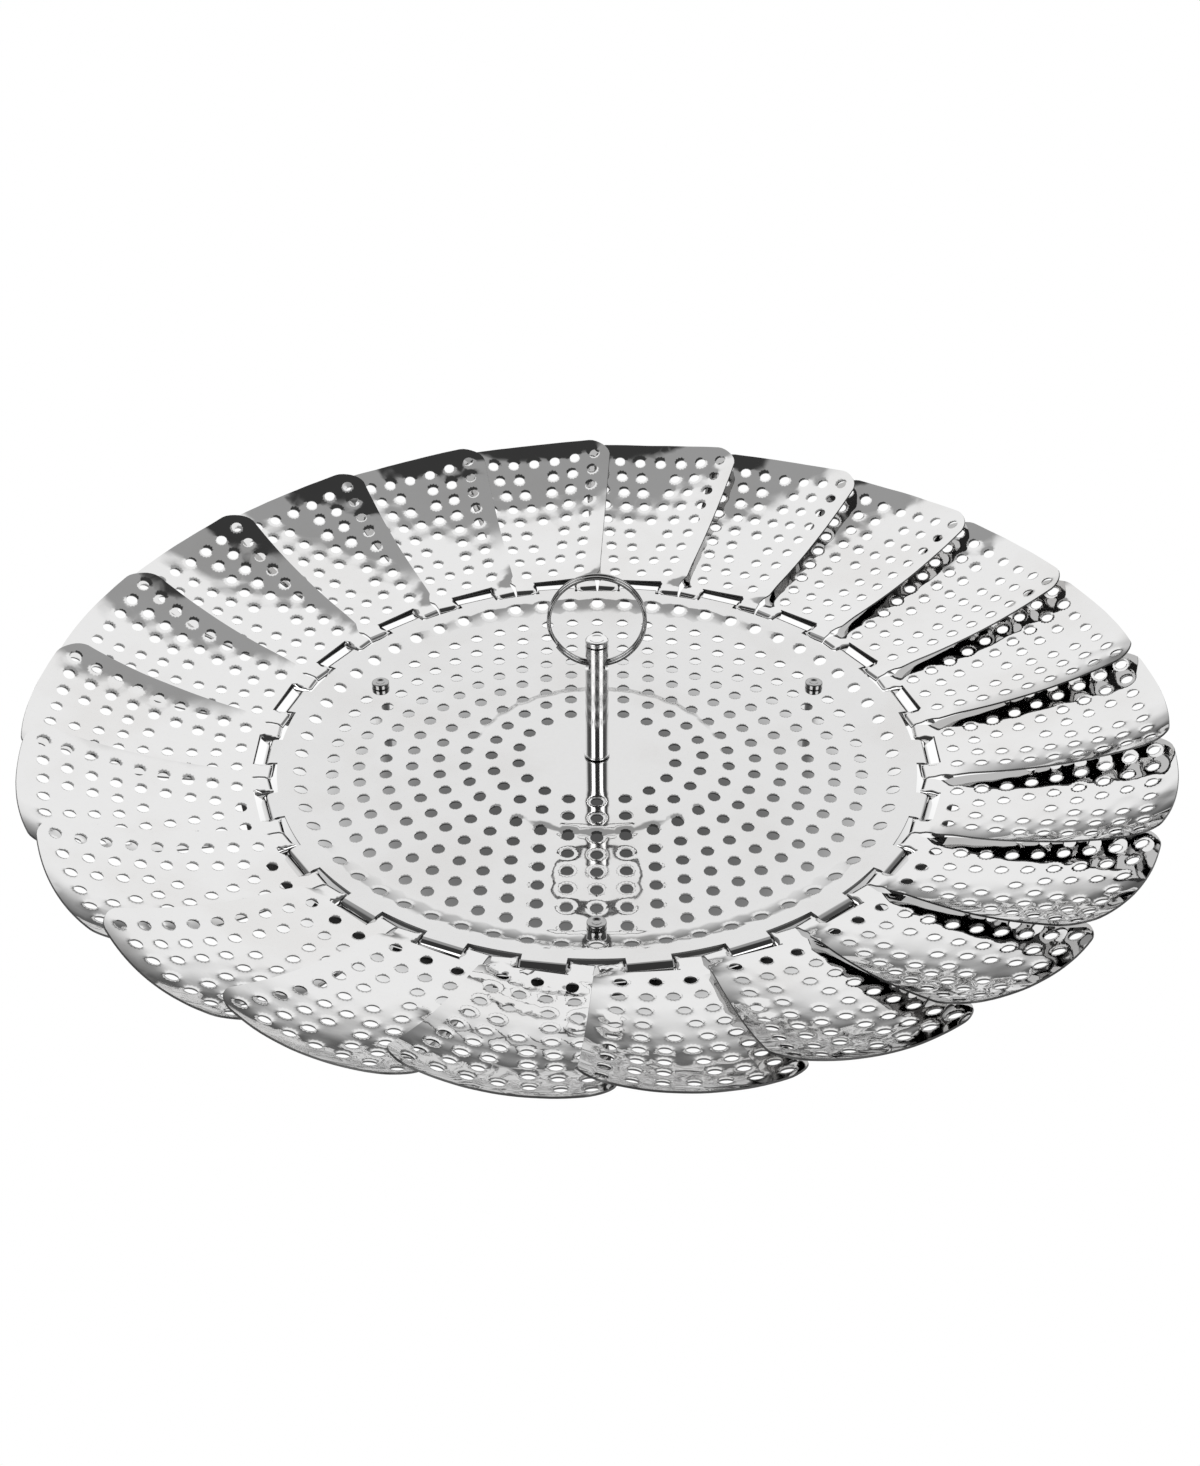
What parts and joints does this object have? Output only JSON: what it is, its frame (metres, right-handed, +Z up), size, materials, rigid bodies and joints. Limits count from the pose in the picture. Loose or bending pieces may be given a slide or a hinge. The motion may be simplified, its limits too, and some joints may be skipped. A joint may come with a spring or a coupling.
{
  "type": "steamer basket",
  "caption": "Collapsible vegetable steamer basket: a perforated base plate on legs, a ring of folding petals hinged round its rim, and a centre post with a pull ring.",
  "frame": {"origin": "on the floor under the middle of the base plate, at the legs' feet", "axes": "+Z up, -Y towards the front leg, +X to the right seen from the front; petals numbered clockwise from the back"},
  "size_m": [0.274, 0.2726, 0.0792],
  "materials": {
    "plate_steel": "mirror-polished stainless steel sheet",
    "petal_steel": "mirror-polished stainless steel sheet, slightly wavy",
    "post_steel": "polished stainless steel",
    "leg_steel": "turned stainless steel",
    "ring_wire": "bright steel wire"
  },
  "bodies": {
    "base": {"base_plate": "plate_steel", "leg_1": "leg_steel", "leg_2": "leg_steel", "leg_3": "leg_steel", "leg_rivet_1": "leg_steel", "leg_rivet_2": "leg_steel", "leg_rivet_3": "leg_steel", "post_tube": "post_steel", "post_cap": "post_steel", "post_screw": "post_steel", "post_washer": "post_steel"},
    "petal_01": {"petal_01": "petal_steel"},
    "petal_02": {"petal_02": "petal_steel"},
    "petal_03": {"petal_03": "petal_steel"},
    "petal_04": {"petal_04": "petal_steel"},
    "petal_05": {"petal_05": "petal_steel"},
    "petal_06": {"petal_06": "petal_steel"},
    "petal_07": {"petal_07": "petal_steel"},
    "petal_08": {"petal_08": "petal_steel"},
    "petal_09": {"petal_09": "petal_steel"},
    "petal_10": {"petal_10": "petal_steel"},
    "petal_11": {"petal_11": "petal_steel"},
    "petal_12": {"petal_12": "petal_steel"},
    "petal_13": {"petal_13": "petal_steel"},
    "petal_14": {"petal_14": "petal_steel"},
    "petal_15": {"petal_15": "petal_steel"},
    "petal_16": {"petal_16": "petal_steel"},
    "petal_17": {"petal_17": "petal_steel"},
    "petal_18": {"petal_18": "petal_steel"},
    "petal_19": {"petal_19": "petal_steel"},
    "petal_20": {"petal_20": "petal_steel"},
    "petal_21": {"petal_21": "petal_steel"},
    "petal_22": {"petal_22": "petal_steel"},
    "pull_ring": {"pull_ring": "ring_wire"}
  },
  "joints": [
    {"name": "petal_01_fold", "type": "hinge", "parent": "base", "child": "petal_01", "pos_m": [0.01151, 0.08008, 0.0289], "axis": [0.9898, -0.1423, 0], "range_deg": [0, 92]},
    {"name": "petal_02_fold", "type": "hinge", "parent": "base", "child": "petal_02", "pos_m": [0.03361, 0.07359, 0.0289], "axis": [0.9096, -0.4154, 0], "range_deg": [0, 92]},
    {"name": "petal_03_fold", "type": "hinge", "parent": "base", "child": "petal_03", "pos_m": [0.05298, 0.06114, 0.0289], "axis": [0.7557, -0.6549, 0], "range_deg": [0, 92]},
    {"name": "petal_04_fold", "type": "hinge", "parent": "base", "child": "petal_04", "pos_m": [0.06806, 0.04374, 0.0289], "axis": [0.5406, -0.8413, 0], "range_deg": [0, 92]},
    {"name": "petal_05_fold", "type": "hinge", "parent": "base", "child": "petal_05", "pos_m": [0.07762, 0.02279, 0.0289], "axis": [0.2817, -0.9595, 0], "range_deg": [0, 92]},
    {"name": "petal_06_fold", "type": "hinge", "parent": "base", "child": "petal_06", "pos_m": [0.0809, 0, 0.0289], "axis": [0, -1, 0], "range_deg": [0, 92]},
    {"name": "petal_07_fold", "type": "hinge", "parent": "base", "child": "petal_07", "pos_m": [0.07762, -0.02279, 0.0289], "axis": [-0.2817, -0.9595, 0], "range_deg": [0, 92]},
    {"name": "petal_08_fold", "type": "hinge", "parent": "base", "child": "petal_08", "pos_m": [0.06806, -0.04374, 0.0289], "axis": [-0.5406, -0.8413, 0], "range_deg": [0, 92]},
    {"name": "petal_09_fold", "type": "hinge", "parent": "base", "child": "petal_09", "pos_m": [0.05298, -0.06114, 0.0289], "axis": [-0.7557, -0.6549, 0], "range_deg": [0, 92]},
    {"name": "petal_10_fold", "type": "hinge", "parent": "base", "child": "petal_10", "pos_m": [0.03361, -0.07359, 0.0289], "axis": [-0.9096, -0.4154, 0], "range_deg": [0, 92]},
    {"name": "petal_11_fold", "type": "hinge", "parent": "base", "child": "petal_11", "pos_m": [0.01151, -0.08008, 0.0289], "axis": [-0.9898, -0.1423, 0], "range_deg": [0, 92]},
    {"name": "petal_12_fold", "type": "hinge", "parent": "base", "child": "petal_12", "pos_m": [-0.01151, -0.08008, 0.0289], "axis": [-0.9898, 0.1423, 0], "range_deg": [0, 92]},
    {"name": "petal_13_fold", "type": "hinge", "parent": "base", "child": "petal_13", "pos_m": [-0.03361, -0.07359, 0.0289], "axis": [-0.9096, 0.4154, 0], "range_deg": [0, 92]},
    {"name": "petal_14_fold", "type": "hinge", "parent": "base", "child": "petal_14", "pos_m": [-0.05298, -0.06114, 0.0289], "axis": [-0.7557, 0.6549, 0], "range_deg": [0, 92]},
    {"name": "petal_15_fold", "type": "hinge", "parent": "base", "child": "petal_15", "pos_m": [-0.06806, -0.04374, 0.0289], "axis": [-0.5406, 0.8413, 0], "range_deg": [0, 92]},
    {"name": "petal_16_fold", "type": "hinge", "parent": "base", "child": "petal_16", "pos_m": [-0.07762, -0.02279, 0.0289], "axis": [-0.2817, 0.9595, 0], "range_deg": [0, 92]},
    {"name": "petal_17_fold", "type": "hinge", "parent": "base", "child": "petal_17", "pos_m": [-0.0809, 0, 0.0289], "axis": [0, 1, 0], "range_deg": [0, 92]},
    {"name": "petal_18_fold", "type": "hinge", "parent": "base", "child": "petal_18", "pos_m": [-0.07762, 0.02279, 0.0289], "axis": [0.2817, 0.9595, 0], "range_deg": [0, 92]},
    {"name": "petal_19_fold", "type": "hinge", "parent": "base", "child": "petal_19", "pos_m": [-0.06806, 0.04374, 0.0289], "axis": [0.5406, 0.8413, 0], "range_deg": [0, 92]},
    {"name": "petal_20_fold", "type": "hinge", "parent": "base", "child": "petal_20", "pos_m": [-0.05298, 0.06114, 0.0289], "axis": [0.7557, 0.6549, 0], "range_deg": [0, 92]},
    {"name": "petal_21_fold", "type": "hinge", "parent": "base", "child": "petal_21", "pos_m": [-0.03361, 0.07359, 0.0289], "axis": [0.9096, 0.4154, 0], "range_deg": [0, 92]},
    {"name": "petal_22_fold", "type": "hinge", "parent": "base", "child": "petal_22", "pos_m": [-0.01151, 0.08008, 0.0289], "axis": [0.9898, 0.1423, 0], "range_deg": [0, 92]},
    {"name": "pull_ring_swing", "type": "hinge", "parent": "base", "child": "pull_ring", "pos_m": [0, 0, 0.05611], "axis": [1, 0, 0], "range_deg": [-160, 170]}
  ],
  "couplings": [
    {"joint": "petal_02_fold", "follows": "petal_01_fold", "ratio": 1},
    {"joint": "petal_03_fold", "follows": "petal_01_fold", "ratio": 1},
    {"joint": "petal_04_fold", "follows": "petal_01_fold", "ratio": 1},
    {"joint": "petal_05_fold", "follows": "petal_01_fold", "ratio": 1},
    {"joint": "petal_06_fold", "follows": "petal_01_fold", "ratio": 1},
    {"joint": "petal_07_fold", "follows": "petal_01_fold", "ratio": 1},
    {"joint": "petal_08_fold", "follows": "petal_01_fold", "ratio": 1},
    {"joint": "petal_09_fold", "follows": "petal_01_fold", "ratio": 1},
    {"joint": "petal_10_fold", "follows": "petal_01_fold", "ratio": 1},
    {"joint": "petal_11_fold", "follows": "petal_01_fold", "ratio": 1},
    {"joint": "petal_12_fold", "follows": "petal_01_fold", "ratio": 1},
    {"joint": "petal_13_fold", "follows": "petal_01_fold", "ratio": 1},
    {"joint": "petal_14_fold", "follows": "petal_01_fold", "ratio": 1},
    {"joint": "petal_15_fold", "follows": "petal_01_fold", "ratio": 1},
    {"joint": "petal_16_fold", "follows": "petal_01_fold", "ratio": 1},
    {"joint": "petal_17_fold", "follows": "petal_01_fold", "ratio": 1},
    {"joint": "petal_18_fold", "follows": "petal_01_fold", "ratio": 1},
    {"joint": "petal_19_fold", "follows": "petal_01_fold", "ratio": 1},
    {"joint": "petal_20_fold", "follows": "petal_01_fold", "ratio": 1},
    {"joint": "petal_21_fold", "follows": "petal_01_fold", "ratio": 1},
    {"joint": "petal_22_fold", "follows": "petal_01_fold", "ratio": 1}
  ]
}
